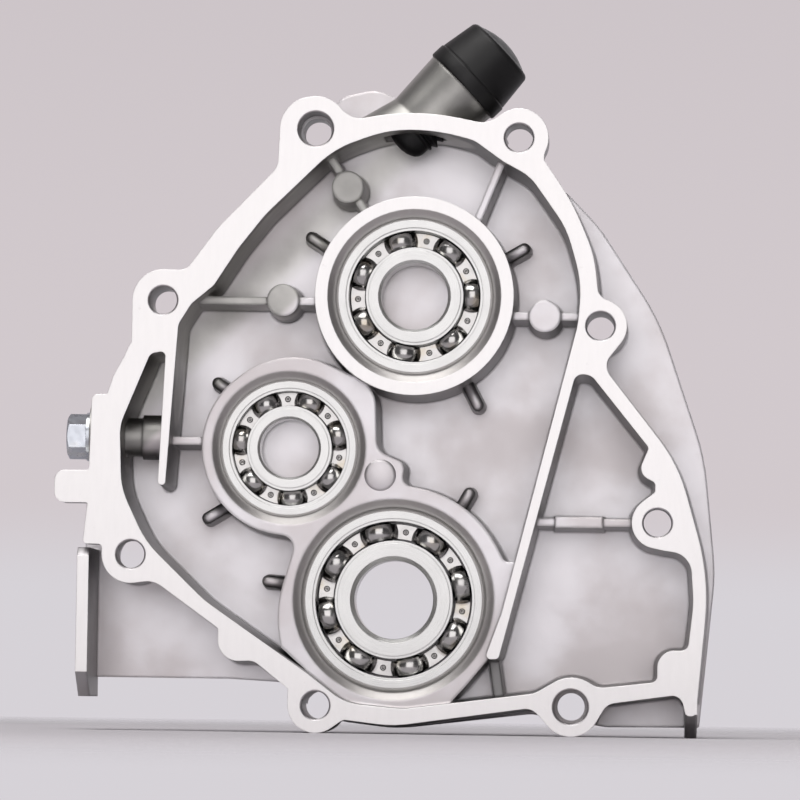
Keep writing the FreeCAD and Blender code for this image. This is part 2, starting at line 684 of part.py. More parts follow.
def make_cage_half(bearing, side, forward):
    """A pressed half of the cage: flats between the balls and an arch over each ball."""
    body = new_body(f"{bearing}_cage_{side}", **seated(bearing))
    turn = FIRST_RIVET[bearing] + 180 / BALLS[bearing]
    body.Placement = Placement(body.Placement.Base, Rotation(Vector(0, -1, 0), turn))
    pitch, half = pitch_radius(bearing), size("cage_wide") / 2
    count = BALLS[bearing]
    far = size(f"{bearing}_outer_r")
    inner, outer = pitch - half, pitch + half
    spare = 1.0

    band = new_sketch(body, "band")
    circle(band, (0, 0), str(outer))
    circle(band, (0, 0), str(inner))
    pad(body, band, "sizes.cage_thick", forward=forward)
    start, long = (inner - spare, 0, 0), str(outer - inner + 2 * spare)
    arch = tilted_cylinder(body, "Additive", "arch", start, (1, 0, 0),
                           f"sizes.{bearing}_ball_r + sizes.cage_gap + sizes.cage_thick", long)
    polar(body, arch, count, "arches")
    trim = new_sketch(body, "trim", deep=str(-far))
    for radius in (far, outer, inner):
        circle(trim, (0, 0), str(radius))
    pocket(body, trim, str(2 * far))
    back = new_sketch(body, "back")
    circle(back, (0, 0), str(far))
    pocket(body, back, str(far), forward=not forward)
    room = tilted_cylinder(body, "Subtractive", "room", start, (1, 0, 0),
                           f"sizes.{bearing}_ball_r + sizes.cage_gap", long)
    rooms = polar(body, room, count, "rooms")
    rooms.Refine = True
    return body


def make_balls(bearing):
    """The balls, one solid each, as a group."""
    balls = []
    pitch, count = pitch_radius(bearing), BALLS[bearing]
    turn = math.radians(FIRST_RIVET[bearing] + 180 / count)
    for k in range(count):
        ball = doc.addObject("Part::Sphere", f"{bearing}_ball_{k + 1}")
        ball.setExpression("Radius", f"sizes.{bearing}_ball_r")
        angle = turn + 2 * math.pi * k / count
        ball.Placement = Placement(
            Vector(pitch * math.cos(angle), 0, pitch * math.sin(angle)), Rotation())
        balls.append(ball)
    group = doc.addObject("Part::Compound", f"{bearing}_balls")
    group.Label = f"{bearing}_balls"
    group.Links = balls
    place(group, **seated(bearing))
    return group


def make_bearing(bearing):
    """Every piece of one bearing."""
    return [
        make_ring(bearing, "outer_ring", f"{bearing}_outer_r", f"{bearing}_land_out", 1),
        make_ring(bearing, "inner_ring", f"{bearing}_bore_r", f"{bearing}_land_in", -1),
        make_cage_half(bearing, "front", True),
        make_cage_half(bearing, "back", False),
        make_balls(bearing),
    ]


# ---------------------------------------------------------------------------------------
# Filler cap and level plug
# ---------------------------------------------------------------------------------------
def on_seat(reach="0"):
    """Position rules of a point on the filler axis."""
    lean, rise = FILLER_AXIS[0], FILLER_AXIS[2]
    return {"x": f"{FILLER_SEAT[0]} + {lean} * ({reach})", "y": "sizes.filler_y",
            "z": f"{FILLER_SEAT[1]} + {rise} * ({reach})"}


def make_filler_cap():
    """Moulded cap with its threaded shank and seal groove; its seat is at z = 0."""
    body = new_body("filler_cap", **on_seat())
    body.Placement = Placement(body.Placement.Base,
                               Rotation(Vector(0, 1, 0), size("filler_tilt")))
    shank, reach = size("thread_r"), size("plug_reach")
    rim, top, side, high = (size(n) for n in ("cap_r", "cap_top_r", "cap_side", "cap_high"))
    collar, step = size("collar_high"), size("collar_step")
    groove = size("seal_wire") + 2 * size("seal_gap")
    profile = [(0, -reach), (shank - 2.5, -reach), (shank, -reach + 2.5), (shank, groove),
               (shank + groove, groove), (shank + groove, 0), (rim - 0.4, 0), (rim, 0.4),
               (rim, collar - 0.3), (rim - step, collar), (top, side - 1.4)]
    spots = [Vector(*p, 0) for p in profile]
    edges = [Part.LineSegment(p, q) for p, q in zip(spots, spots[1:])]
    shoulder, crown = Vector(top - 1.6, side + 0.4, 0), Vector(0, high, 0)
    edges.append(Part.Arc(spots[-1], Vector(top - 0.35, side - 0.2, 0), shoulder))
    rise = crown.y - shoulder.y
    dome = (shoulder.x ** 2 + rise ** 2) / (2 * rise)
    middle = Vector(shoulder.x / 2, high - dome + math.sqrt(dome ** 2 - shoulder.x ** 2 / 4), 0)
    edges.append(Part.Arc(shoulder, middle, crown))
    edges.append(Part.LineSegment(crown, spots[0]))
    sketch = new_sketch(body, "profile")
    sketch.addGeometry(edges)
    turned = body.newObject("PartDesign::Revolution", "turned")
    turned.Profile = sketch
    turned.ReferenceAxis = (sketch, ["V_Axis"])
    turned.Angle = 360
    return body


def make_cap_seal():
    """The ring seal in the cap's groove, lying on the neck's mouth."""
    ring = doc.addObject("Part::Torus", "cap_seal")
    ring.Label = "cap_seal"
    ring.setExpression("Radius1", "sizes.thread_r + sizes.seal_wire / 2 + sizes.seal_gap")
    ring.setExpression("Radius2", "sizes.seal_wire / 2")
    ring.Placement = Placement(Vector(), Rotation(Vector(0, 1, 0), size("filler_tilt")))
    place(ring, **on_seat("sizes.seal_wire / 2 + sizes.seal_gap"))
    return ring


def plug_place(reach):
    """Position rules of a point on the level plug's axis, reach outside its boss face."""
    return {"x": f"{PLUG_X} - ({reach})", "y": "sizes.plug_y", "z": str(PLUG_Z)}


def make_plug():
    """Hexagon head screw that closes the level hole, built along its own axis."""
    body = new_body("level_plug", **plug_place("sizes.washer_thick"))
    body.Placement = Placement(body.Placement.Base, Rotation(Vector(0, 1, 0), -90))
    across, head = size("plug_flats"), size("plug_head")
    corner = across / math.sqrt(3)
    hexagon = new_sketch(body, "hexagon", role="XY_Plane")
    spots = [Vector(corner * math.cos(a), corner * math.sin(a), 0)
             for a in (math.radians(60 * k) for k in range(6))]
    hexagon.addGeometry([Part.LineSegment(p, q) for p, q in zip(spots, spots[1:] + spots[:1])])
    block = body.newObject("PartDesign::Pad", "head")
    block.Profile = hexagon
    block.setExpression("Length", "sizes.plug_head")
    over = corner + 1.0
    chamfer = new_sketch(body, "corner_cut")
    chamfer.addGeometry(chain((across / 2 - 0.3, head), (over, head + 0.01),
                              (over, head - (over - across / 2 + 0.3) * math.tan(math.pi / 6))))
    cut = body.newObject("PartDesign::Groove", "corners")
    cut.Profile = chamfer
    cut.ReferenceAxis = (chamfer, ["V_Axis"])
    cut.Angle = 360
    shank = new_sketch(body, "shank", role="XY_Plane")
    circle(shank, (0, 0), "sizes.plug_r")
    shaft = body.newObject("PartDesign::Pad", "shaft")
    shaft.Profile = shank
    shaft.Reversed = True
    shaft.setExpression("Length", "sizes.plug_long + sizes.washer_thick")
    return body


def make_washer():
    """Sealing washer under the level plug's head."""
    body = new_body("plug_washer", **plug_place("0"))
    body.Placement = Placement(body.Placement.Base, Rotation(Vector(0, 1, 0), -90))
    rings = new_sketch(body, "rings", role="XY_Plane")
    circle(rings, (0, 0), "sizes.washer_r")
    circle(rings, (0, 0), "sizes.plug_r + 4 * sizes.plug_gap")
    plate = body.newObject("PartDesign::Pad", "plate")
    plate.Profile = rings
    plate.setExpression("Length", "sizes.washer_thick")
    return body


# ---------------------------------------------------------------------------------------
# Build, check and write
# ---------------------------------------------------------------------------------------
def check(nodes):
    """Stop before anything is written if an object failed or a shape is unsound."""
    faults = [f"{o.Name}: {o.State}" for o in doc.Objects
              if "Invalid" in o.State or "Error" in o.State]
    for node in nodes:
        if node.Shape.isNull() or not node.Shape.isValid():
            faults.append(f"{node.Label}: unsound shape")
    if faults:
        raise RuntimeError("; ".join(faults))


def main():
    """Make every node, check them all and write one STEP file each."""
    nodes = [make_housing()]
    for bearing in SHAFTS:
        nodes += make_bearing(bearing)
    nodes += [make_filler_cap(), make_cap_seal(), make_plug(), make_washer()]
    doc.recompute()
    check(nodes)
    os.makedirs("parts", exist_ok=True)
    for node in nodes:
        node.Shape.exportStep(f"parts/{node.Label}.step")
        print(f"{node.Label:22s} {len(node.Shape.Solids)} solid(s) {node.Shape.Volume:10.1f}")


main()
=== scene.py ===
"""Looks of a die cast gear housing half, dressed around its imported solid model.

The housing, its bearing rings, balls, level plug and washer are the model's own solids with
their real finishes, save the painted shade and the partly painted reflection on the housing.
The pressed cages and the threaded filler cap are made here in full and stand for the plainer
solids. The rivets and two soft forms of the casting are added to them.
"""

import logging
import math
from collections.abc import Callable
from dataclasses import dataclass
from enum import Enum

import bpy
from mathutils import Euler, Matrix, Vector


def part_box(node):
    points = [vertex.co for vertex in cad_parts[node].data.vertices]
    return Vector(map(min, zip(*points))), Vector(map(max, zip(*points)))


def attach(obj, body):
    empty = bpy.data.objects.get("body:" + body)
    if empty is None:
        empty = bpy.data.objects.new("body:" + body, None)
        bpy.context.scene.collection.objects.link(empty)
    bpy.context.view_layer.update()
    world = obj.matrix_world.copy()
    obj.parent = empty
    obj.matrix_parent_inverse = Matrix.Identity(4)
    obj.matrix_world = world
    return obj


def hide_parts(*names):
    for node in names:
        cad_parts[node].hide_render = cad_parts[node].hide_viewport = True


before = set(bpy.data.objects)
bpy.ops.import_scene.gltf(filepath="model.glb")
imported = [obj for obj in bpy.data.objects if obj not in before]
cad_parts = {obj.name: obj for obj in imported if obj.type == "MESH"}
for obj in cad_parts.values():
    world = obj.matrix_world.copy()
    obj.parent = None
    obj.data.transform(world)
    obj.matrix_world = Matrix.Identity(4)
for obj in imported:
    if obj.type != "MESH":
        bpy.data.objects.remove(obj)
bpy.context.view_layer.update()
MM = 0.001
log = logging.getLogger("gear_housing")

Colour = tuple[float, float, float]
Point = tuple[float, float, float]
Faces = list[tuple[int, ...]]
Shell = tuple[list[Point], Faces]
Profile = list[tuple[float | Callable[[float], float], float]]
Socket = bpy.types.NodeSocket


def toned(colour: Colour, factor: float) -> Colour:
    """A colour made darker or paler by a factor."""
    return tuple(c * factor for c in colour)


def metres(point: Point) -> Point:
    """A point in metres from one in millimetres."""
    return tuple(c * MM for c in point)


# ---------------------------------------------------------------------------------------
# Shader building
# ---------------------------------------------------------------------------------------
class Nodes:
    """A node tree under construction, with short ways to add and join nodes."""

    def __init__(self, tree: bpy.types.NodeTree) -> None:
        """Work on a tree."""
        self.tree = tree

    def node(self, kind: str, **settings: object) -> bpy.types.Node:
        """Add a node of a kind such as TexNoise and apply its settings."""
        made = self.tree.nodes.new("ShaderNode" + kind)
        for key, value in settings.items():
            setattr(made, key, value)
        return made

    def feed(self, value: object, target: Socket) -> None:
        """Link an output to an input, or set the input to a number, vector or colour."""
        if isinstance(value, Socket):
            self.tree.links.new(value, target)
        elif isinstance(value, tuple) and len(target.default_value) == 4:
            target.default_value = (*value, 1.0)
        else:
            target.default_value = value

    def math(self, operation: str, *terms: object, clamp: bool = False) -> Socket:
        """A math node.

        Args:
            operation: the node's operation, such as MULTIPLY.
            terms: numbers or sockets, in order.
            clamp: keep the result between 0 and 1.

        Returns:
            The socket that holds the result.
        """
        made = self.node("Math", operation=operation, use_clamp=clamp)
        for socket, term in zip(made.inputs, terms):
            self.feed(term, socket)
        return made.outputs[0]

    def vector(self, operation: str, *terms: object) -> Socket:
        """A vector math node on points or sockets, in order."""
        made = self.node("VectorMath", operation=operation)
        for socket, term in zip(made.inputs, terms):
            self.feed(term, socket)
        return made.outputs["Value" if operation == "LENGTH" else "Vector"]

    def axes(self, source: Socket) -> bpy.types.NodeOutputs:
        """Split a vector into its X, Y and Z sockets."""
        made = self.node("SeparateXYZ")
        self.feed(source, made.inputs[0])
        return made.outputs

    def ramp(self, source: Socket, low: float, high: float,
             bottom: float = 0.0, top: float = 1.0) -> Socket:
        """Map a socket smoothly from low..high to bottom..top, held at both ends."""
        made = self.node("MapRange", interpolation_type="SMOOTHSTEP")
        for key, value in (("Value", source), ("From Min", low), ("From Max", high),
                           ("To Min", bottom), ("To Max", top)):
            self.feed(value, made.inputs[key])
        return made.outputs["Result"]

    def mix(self, factor: Socket, low: object, high: object, kind: str = "RGBA") -> Socket:
        """Blend from one value or socket to another.

        Args:
            factor: 0 shows the low one, 1 the high one.
            low: the first colour, number or vector.
            high: the second.
            kind: what they are: RGBA, FLOAT or VECTOR.

        Returns:
            The blend's socket.
        """
        made = self.node("Mix", data_type=kind)
        for key, value in (("Factor", factor), ("A", low), ("B", high)):
            self.feed(value, made.inputs[key])
        return made.outputs["Result"]

    def either(self, masks: list[Socket]) -> Socket:
        """The greatest of some masks."""
        found = masks[0]
        for mask in masks[1:]:
            found = self.math("MAXIMUM", found, mask)
        return found


class Shader(Nodes):
    """A material under construction, around one principled shader."""

    def __init__(self, name: str) -> None:
        """Start the material."""
        self.material = bpy.data.materials.new(name)
        self.material.use_nodes = True
        super().__init__(self.material.node_tree)
        self.surface = self.tree.nodes["Principled BSDF"]

    def set(self, **values: object) -> None:
        """Set or drive inputs of the principled shader, underscores standing for spaces."""
        for key, value in values.items():
            self.feed(value, self.surface.inputs[key.replace("_", " ")])

    def place(self) -> Socket:
        """The object's own coordinates, in metres."""
        return self.node("TexCoord").outputs["Object"]

    def noise(self, scale: float, detail: float = 4.0, rough: float = 0.5,
              where: Socket | None = None) -> Socket:
        """Noise over the object.

        Args:
            scale: how many features fit in a metre.
            detail: octaves.
            rough: weight of the finer octaves.
            where: coordinates other than the object's own.

        Returns:
            The noise value's socket.
        """
        made = self.node("TexNoise")
        for key, value in (("Scale", scale), ("Detail", detail), ("Roughness", rough),
                           ("Vector", where or self.place())):
            self.feed(value, made.inputs[key])
        return made.outputs["Fac"]

    def relief(self, height: Socket, depth: float, onto: Socket | None = None) -> Socket:
        """A bump.

        Args:
            height: 0 to 1 height.
            depth: what the full height is, in metres.
            onto: a normal to add it to.

        Returns:
            The bumped normal's socket.
        """
        made = self.node("Bump")
        for key, value in (("Strength", 1.0), ("Distance", depth), ("Height", height)):
            self.feed(value, made.inputs[key])
        if onto is not None:
            self.feed(onto, made.inputs["Normal"])
        return made.outputs["Normal"]

    def soft_edges(self, radius: float) -> Socket:
        """A normal that rounds edges and inner corners by a radius in metres."""
        made = self.node("Bevel", samples=4)
        self.feed(radius, made.inputs["Radius"])
        return made.outputs["Normal"]

    def facing(self) -> Socket:
        """How far the surface faces along +Y, from -1 to 1."""
        return self.axes(self.node("NewGeometry").outputs["Normal"])["Y"]

    def from_plane(self, deep: float) -> Socket:
        """Distance from the plane at a depth along Y, both in metres."""
        return self.math("ABSOLUTE", self.math("SUBTRACT", self.axes(self.place())["Y"], deep))

    def from_axis(self, centre: Point, way: Point = (0.0, 1.0, 0.0)) -> Socket:
        """Distance from an axis through a point, in metres; the way has unit length."""
        arm = self.vector("SUBTRACT", self.place(), centre)
        return self.vector("LENGTH", self.vector("CROSS_PRODUCT", arm, way))


# ---------------------------------------------------------------------------------------
# Finishes
# ---------------------------------------------------------------------------------------
@dataclass(frozen=True)
class CastAluminium:
    """Die cast skin with painted shade on the walls that face sideways, and milled where a cutter
    has been.

    Attributes:
        bores: centre and radius of each bored seat, in metres.
        skin: satin colour of the faces that look to the front or the rear.
        stain_and_reflection: the warmer cloudy patches on them.
        wall: painted shade given to the drafted walls that face sideways, and to the stubs' flat
            tops.
        neck: darker, mottled colour given to the filler neck.
        milled: colour of a milled face.
        scuffed: the two colours of its scuffs.
        bored: the two colours of a bored wall.
        rough: roughness of milled metal; the cast skin goes up to a quarter more.
        milled_planes: where the milled faces lie along Y, in millimetres.
        shaded_stub_plane: where the flat tops of the solid's stubs lie along Y.
        neck_r: radius about the filler's axis that the neck's skin reaches to.
    """

    bores: tuple[tuple[Point, float], ...]
    skin: Colour = (0.735, 0.715, 0.735)
    # the warm cloudy patches are partly discoloured skin, partly a painted reflection of the room
    stain_and_reflection: Colour = (0.675, 0.635, 0.64)
    # painted shade: the sideways walls and the stubs' flat tops take this darker colour
    wall: Colour = (0.25, 0.245, 0.245)
    neck: Colour = (0.60, 0.59, 0.565)
    milled: Colour = (0.81, 0.795, 0.79)
    scuffed: tuple[Colour, Colour] = ((0.52, 0.49, 0.47), (0.6, 0.58, 0.56))
    bored: tuple[Colour, Colour] = ((0.62, 0.60, 0.59), (0.55, 0.53, 0.52))
    rough: float = 0.36
    milled_planes: tuple[float, ...] = (-20.0, -18.0)
    # the flat stub tops on this plane take the painted wall shade
    shaded_stub_plane: float = -3.0
    neck_r: float = 12.5

    def milled_mask(self, s: Shader) -> Socket:
        """Where the front faces have been milled.

        Args:
            s: the shader under construction.

        Returns:
            1 on a milled face, 0 elsewhere.
        """
        planes = [s.ramp(s.from_plane(plane * MM), 0.04 * MM, 0.12 * MM, 1.0, 0.0)
                  for plane in self.milled_planes]
        front = s.ramp(s.math("MULTIPLY", s.facing(), -1.0), 0.985, 0.999)
        return s.math("MULTIPLY", s.either(planes), front)

    def bored_mask(self, s: Shader) -> Socket:
        """Where the bearing seats have been bored: 1 inside them, 0 elsewhere."""
        return s.either([s.ramp(s.from_axis(centre), radius, radius + 0.1 * MM, 1.0, 0.0)
                         for centre, radius in self.bores])

    def cast_colour(self, s: Shader, cloud: Socket, blast: Socket) -> Socket:
        """Colour of the cast skin with painted shade on its sideways walls, of the filler neck and
        of the bearing seats.

        Args:
            s: the shader under construction.
            cloud: broad noise that the warm patches follow, partly discoloured skin and partly
                painted reflection.
            blast: fine noise of the blasted skin.

        Returns:
            The colour's socket.
        """
        square = s.math("ABSOLUTE", s.facing())
        # painted shade: faces that look sideways, and the flat stub tops on their plane, take the
        # wall colour
        flat = s.math("MULTIPLY", s.ramp(square, 0.25, 0.85),
                      s.ramp(s.from_plane(self.shaded_stub_plane * MM), 0.1 * MM, 0.2 * MM))
        # warm cloudy patches: partly discoloured skin, partly a painted reflection of the room
        skin = s.mix(s.ramp(cloud, 0.38, 0.66), self.skin, self.stain_and_reflection)
        drawn = s.mix(s.ramp(s.noise(70.0), 0.35, 0.7), self.wall, toned(self.wall, 1.25))
        lean = math.radians(FillerCap.tilt)
        beside = s.from_axis(metres(FillerCap.seat), (math.sin(lean), 0.0, math.cos(lean)))
        # darker, mottled colour over the filler neck
        neck = s.mix(s.ramp(cloud, 0.3, 0.7), self.neck, toned(self.neck, 0.62))
        cast = s.mix(s.ramp(beside, self.neck_r * MM, (self.neck_r + 2.0) * MM, 1.0, 0.0),
                     s.mix(flat, drawn, skin), neck)
        side = s.ramp(square, 0.85, 0.97, 1.0, 0.0)
        return s.mix(s.math("MULTIPLY", self.bored_mask(s), side), cast,
                     s.mix(blast, *self.bored))

    def milled_colour(self, s: Shader, cloud: Socket, streaks: Socket) -> Socket:
        """Colour of a milled face, with the cutter's lines and a few scuffs.

        Args:
            s: the shader under construction.
            cloud: broad noise that varies the scuffs.
            streaks: noise drawn out along the cutter's way.

        Returns:
            The colour's socket.
        """
        clean = s.mix(s.ramp(streaks, 0.3, 0.75), self.milled, toned(self.milled, 0.975))
        scuffs = s.math("MULTIPLY", s.ramp(s.noise(210.0, 6.0, 0.7), 0.66, 0.74), 0.35)
        return s.mix(scuffs, clean, s.mix(cloud, *self.scuffed))

    def make(self) -> bpy.types.Material:
        """Build the material."""
        s = Shader("cast_aluminium")
        cloud, blast = s.noise(34.0, 5.0, 0.55), s.noise(900.0, 4.0, 0.65)
        drawn_out = s.vector("MULTIPLY", s.place(), (700.0, 700.0, 120.0))
        streaks = s.noise(1.0, 3.0, 0.6, drawn_out)
        cut = self.milled_mask(s)
        pitted = s.relief(s.noise(120.0, 3.0), 0.06 * MM, s.soft_edges(1.0 * MM))
        grainy = s.relief(blast, 0.008 * MM, pitted)
        smooth = s.relief(streaks, 0.0008 * MM, s.soft_edges(0.25 * MM))
        s.set(Metallic=1.0,
              Base_Color=s.mix(cut, self.cast_colour(s, cloud, blast),
                               self.milled_colour(s, cloud, streaks)),
              Roughness=s.mix(cut, s.ramp(cloud, 0.3, 0.7, self.rough, self.rough * 1.25),
                              self.rough, "FLOAT"),
              Normal=s.mix(cut, grainy, smooth, "VECTOR"))
        return s.material


@dataclass(frozen=True)
class GroundSteel:
    """Bearing ring steel, ground in circles about the ring's own axis.

    Attributes:
        name: the material's name.
        centre: a point on the ring's axis, in metres.
        colour: its colour.
        rough: middle roughness.
        lines: grinding lines to a metre across the radius.
    """

    name: str
    centre: Point
    colour: Colour = (0.63, 0.63, 0.62)
    rough: float = 0.27
    lines: float = 9000.0

    def make(self) -> bpy.types.Material:
        """Build the material."""
        s = Shader(self.name)
        ground = s.node("TexNoise", noise_dimensions="1D")
        for key, value in (("Scale", self.lines), ("Detail", 2.0),
                           ("W", s.from_axis(self.centre))):
            s.feed(value, ground.inputs[key])
        lines = ground.outputs["Fac"]
        s.set(Metallic=1.0,
              Base_Color=s.mix(s.ramp(s.noise(150.0), 0.3, 0.75), self.colour,
                               toned(self.colour, 0.93)),
              Roughness=s.ramp(lines, 0.3, 0.7, self.rough * 0.85, self.rough * 1.2),
              Normal=s.relief(lines, 0.0012 * MM, s.soft_edges(0.2 * MM)))
        return s.material


@dataclass(frozen=True)
class BrightMetal:
    """A smooth metal finish: balls, pressed sheet, rivets or plating.

    Attributes:
        name: the material's name.
        colour: its colour.
        film: colour of the thin oily or passivated patches.
        share: how much of the film shows, 0 to 1.
        rough: middle roughness.
        grain: depth of the surface grain, in millimetres.
        edge: radius that its edges are eased by, in millimetres.
    """

    name: str
    colour: Colour
    film: Colour
    share: float
    rough: float
    grain: float = 0.001
    edge: float = 0.0

    def make(self) -> bpy.types.Material:
        """Build the material."""
        s = Shader(self.name)
        patches = s.ramp(s.noise(170.0, 3.0), 0.5, 0.72, 0.0, self.share)
        onto = s.soft_edges(self.edge * MM) if self.edge else None
        s.set(Metallic=1.0,
              Base_Color=s.mix(patches, self.colour, self.film),
              Roughness=s.ramp(s.noise(420.0), 0.3, 0.7, self.rough * 0.8, self.rough * 1.25),
              Normal=s.relief(s.noise(2600.0, 3.0), self.grain * MM, onto))
        return s.material


@dataclass(frozen=True)
class Moulding:
    """A moulded plastic or rubber finish.

    Attributes:
        name: the material's name.
        colour: its colour; the paler patches go up to half as much again.
        rough: middle roughness.
        grain: depth of the surface grain, in millimetres.
    """

    name: str
    colour: Colour
    rough: float
    grain: float = 0.006

    def make(self) -> bpy.types.Material:
        """Build the material."""
        s = Shader(self.name)
        cloud = s.noise(140.0)
        s.set(Specular_IOR_Level=0.42,
              Base_Color=s.mix(s.ramp(cloud, 0.3, 0.7), self.colour, toned(self.colour, 1.5)),
              Roughness=s.ramp(cloud, 0.3, 0.7, self.rough * 0.9, self.rough * 1.15),
              Normal=s.relief(s.noise(1900.0, 3.0), self.grain * MM))
        return s.material


def dress(node: str, material: bpy.types.Material) -> None:
    """Give a solid of the model a finish."""
    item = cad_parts[node]
    if not item.material_slots:
        item.data.materials.append(material)
    for slot in item.material_slots:
        slot.material = material


def middle(node: str) -> Point:
    """Centre of a node's box, in metres."""
    low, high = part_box(node)
    return tuple((a + b) / 2 for a, b in zip(low, high))


# ---------------------------------------------------------------------------------------
# Mesh building
# ---------------------------------------------------------------------------------------
def new_piece(name: str, points: list[Point], faces: Faces,
              finish: bpy.types.Material) -> bpy.types.Object:
    """A smooth-shaded piece.

    Args:
        name: the piece's name.
        points: vertices, in metres.
        faces: vertex numbers of each face, seen counter-clockwise from outside.
        finish: its finish.

    Returns:
        The piece.
    """
    mesh = bpy.data.meshes.new(name)
    mesh.from_pydata(points, [], faces)
    mesh.validate()
    mesh.materials.append(finish)
    for face in mesh.polygons:
        face.use_smooth = True
    item = bpy.data.objects.new(name, mesh)
    bpy.context.collection.objects.link(item)
    return item


def ease(item: bpy.types.Object, width: float, degrees: float) -> None:
    """Break a piece's sharp edges with a narrow two-step bevel."""
    bevel = item.modifiers.new("edges", "BEVEL")
    bevel.width, bevel.segments = width, 2
    bevel.limit_method, bevel.angle_limit = "ANGLE", math.radians(degrees)
    bevel.harden_normals = True


def band(first: int, second: int, count: int) -> Faces:
    """Faces between two closed rows of points, given the number that each row starts at."""
    return [(first + k, second + k, second + (k + 1) % count, first + (k + 1) % count)
            for k in range(count)]


def turned(profile: Profile, steps: int) -> Shell:
    """Turn a profile about Z, from a pole at its first height to a pole at its last.

    Args:
        profile: (radius, height) in millimetres; a radius may depend on the turn in radians.
        steps: faces round the axis.

    Returns:
        Points in metres and faces; the first and last entries become the poles.
    """
    points = [(0.0, 0.0, profile[0][1] * MM)]
    for radius, height in profile[1:-1]:
        for k in range(steps):
            turn = 2 * math.pi * k / steps
            r = radius(turn) if callable(radius) else radius
            points.append((r * math.cos(turn) * MM, r * math.sin(turn) * MM, height * MM))
    points.append((0.0, 0.0, profile[-1][1] * MM))
    rows, last = len(profile) - 2, len(points) - 1
    faces = [(0, 1 + k, 1 + (k + 1) % steps) for k in range(steps)]
    for row in range(rows - 1):
        faces += band(1 + row * steps, 1 + (row + 1) * steps, steps)
    end = 1 + (rows - 1) * steps
    faces += [(last, end + (k + 1) % steps, end + k) for k in range(steps)]
    return points, faces


def gathered(shells: list[Shell]) -> Shell:
    """Several closed surfaces as one list of points and one of faces."""
    points: list[Point] = []
    faces: Faces = []
    for spots, skin in shells:
        faces += [tuple(i + len(points) for i in face) for face in skin]
        points += spots
    return points, faces


# ---------------------------------------------------------------------------------------
# Cast details of the housing
# ---------------------------------------------------------------------------------------
@dataclass
class CastDetails:
    """Soft forms of the casting: rounded stubs round the bosses and an ejector mark.

    Attributes:
        stubs: outer and inner end of each stub in plan, in millimetres.
        root: depth that the stubs stand from, along Y.
        crest: depth of their rounded crest.
        wide: their width.
        flare: how much wider than that they are at the root, as a share.
        mark: middle of the mark on the deck, in plan.
        mark_r: its radius.
        mark_high: how far it stands proud.
        deck: depth of the deck that carries it.
    """

    stubs: tuple[tuple[float, float, float, float], ...] = (
        (-20.4, 126.4, -12.7, 121.5), (34.0, 124.1, 26.3, 119.6),
        (-43.8, 88.8, -38.7, 85.5), (22.7, 84.0, 18.8, 91.5),
        (-45.8, 54.3, -39.7, 58.0), (-30.2, 38.4, -23.7, 37.8),
        (20.8, 61.4, 17.3, 55.0))
    root: float = 8.5
    crest: float = -3.8
    wide: float = 3.1
    flare: float = 0.32
    mark: tuple[float, float] = (-1.6, 65.5)
    mark_r: float = 4.1
    mark_high: float = 0.12
    deck: float = -12.0

    def stub(self, ends: tuple[float, float, float, float]) -> Shell:
        """A half-round bar with a domed outer end, on flared flanks.

        Args:
            ends: outer x, z and inner x, z.

        Returns:
            Points in metres and faces.
        """
        outer, inner = Vector((ends[0], 0.0, ends[1])), Vector((ends[2], 0.0, ends[3]))
        along = (inner - outer).normalized()
        across = Vector((-along.z, 0.0, along.x))
        radius, steps = self.wide / 2, 12
        flank = self.root - self.crest - radius
        levels = [(1.0 + self.flare * k / 3, self.root - flank * (1 - k / 3)) for k in (3, 2, 1, 0)]
        levels += [(math.cos(math.radians(a)), self.crest + radius * (1 - math.sin(math.radians(a))))
                   for a in (18, 36, 54, 72)]
        rings = []
        for grow, deep in levels:
            reach = radius * grow
            ring = [inner + across * reach, inner - across * reach]
            ring += [outer - across * reach * math.cos(t) - along * reach * math.sin(t)
                     for t in (math.pi * k / steps for k in range(steps + 1))]
            rings.append([(p.x * MM, deep * MM, p.z * MM) for p in ring])
        size, top = len(rings[0]), len(rings) - 1
        points = [p for ring in rings for p in ring]
        faces: Faces = [(r * size + k, r * size + (k + 1) % size,
                         (r + 1) * size + (k + 1) % size, (r + 1) * size + k)
                        for r in range(top) for k in range(size)]
        faces += [tuple(range(top * size, (top + 1) * size)), tuple(range(size))[::-1]]
        return points, faces

    def build(self, finish: bpy.types.Material) -> None:
        """Add the stubs and the mark to the housing.

        Args:
            finish: the casting's finish.
        """
        stubs = gathered([self.stub(ends) for ends in self.stubs])
        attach(new_piece("boss_stubs", *stubs, finish), "case")
        rim, high = self.mark_r, self.mark_high
        disc, skin = turned([(0.0, high), (rim - 0.9, high), (rim - 0.35, 0.07), (rim, -0.02),
                             (rim, -0.4), (0.0, -0.4)], 64)
        spots = [(x + self.mark[0] * MM, self.deck * MM - z, y + self.mark[1] * MM)
                 for x, y, z in disc]
        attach(new_piece("deck_mark", spots, skin, finish), "case")
        log.info("stubs and ejector mark of the casting")


# ---------------------------------------------------------------------------------------
# Ball bearings
# ---------------------------------------------------------------------------------------
class Side(Enum):
    """Which way a cage half bulges: FRONT towards -Y, BACK towards +Y."""

    FRONT = -1
    BACK = 1


